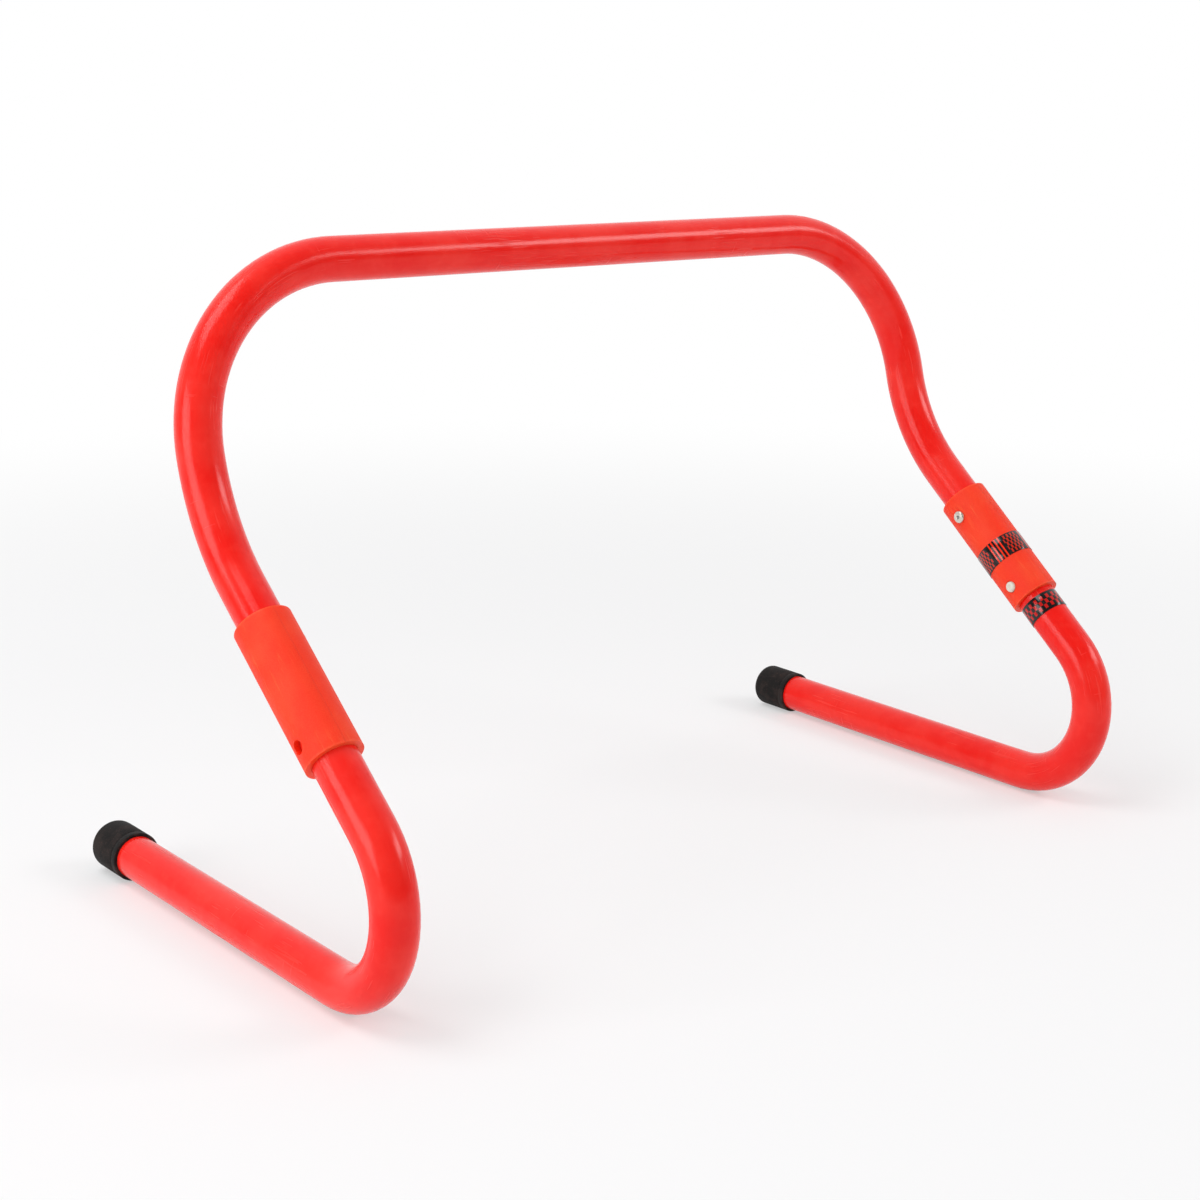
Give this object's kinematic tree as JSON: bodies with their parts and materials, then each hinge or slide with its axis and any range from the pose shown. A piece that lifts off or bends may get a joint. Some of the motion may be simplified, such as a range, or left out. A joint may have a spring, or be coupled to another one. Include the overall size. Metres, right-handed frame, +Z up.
{
  "type": "agility hurdle",
  "caption": "Low training hurdle for pets: a bent tube bar and uprights in two sleeves, on legs that turn in the sleeves to set the other height.",
  "frame": {"origin": "on the floor, midway between the legs and midway from the front bends to the back of the foot caps", "axes": "+X along the bar towards the right leg, +Y from the front bends back to the foot caps, +Z up"},
  "size_m": [0.4576, 0.2465, 0.2974],
  "materials": {
    "tube": "glossy coral-red moulded plastic tube",
    "sleeve": "satin orange-red moulded plastic",
    "rivet": "satin aluminium",
    "rivet_pin": "dull grey steel",
    "button": "pale moulded plastic",
    "spring": "bright spring steel strip",
    "cap": "matte black rubber",
    "band": "glossy black printed film with a plain block pattern"
  },
  "bodies": {
    "hoop": {"hoop_tube": "tube", "left_sleeve": "sleeve", "right_sleeve": "sleeve", "left_rivet": "rivet", "right_rivet": "rivet", "left_rivet_pin": "rivet_pin", "right_rivet_pin": "rivet_pin", "sleeve_band": "band"},
    "left_leg": {"left_leg": "tube", "left_foot_cap": "cap", "left_button_spring": "spring"},
    "right_leg": {"right_leg": "tube", "right_foot_cap": "cap", "right_button_spring": "spring", "leg_band": "band"},
    "left_button": {"left_button": "button"},
    "right_button": {"right_button": "button"}
  },
  "joints": [
    {"name": "left_leg_swivel", "type": "hinge", "parent": "hoop", "child": "left_leg", "pos_m": [-0.216, -0.07296, 0.10539], "axis": [0, 0.766, 0.6428], "range_deg": [0, 180], "deforming": ["left_button"]},
    {"name": "right_leg_swivel", "type": "hinge", "parent": "hoop", "child": "right_leg", "pos_m": [0.216, -0.07296, 0.10539], "axis": [0, -0.766, -0.6428], "range_deg": [0, 180], "deforming": ["right_button"]},
    {"name": "left_button_press", "type": "slide", "parent": "left_leg", "child": "left_button", "axis": [-1, 0, 0], "range_m": [0, 0.0038], "stiffness_N_per_m": 1000, "springref_m": -0.003, "deforming": ["left_button_spring"]},
    {"name": "right_button_press", "type": "slide", "parent": "right_leg", "child": "right_button", "axis": [1, 0, 0], "range_m": [0, 0.0038], "stiffness_N_per_m": 1000, "springref_m": -0.003, "deforming": ["right_button_spring"]}
  ]
}
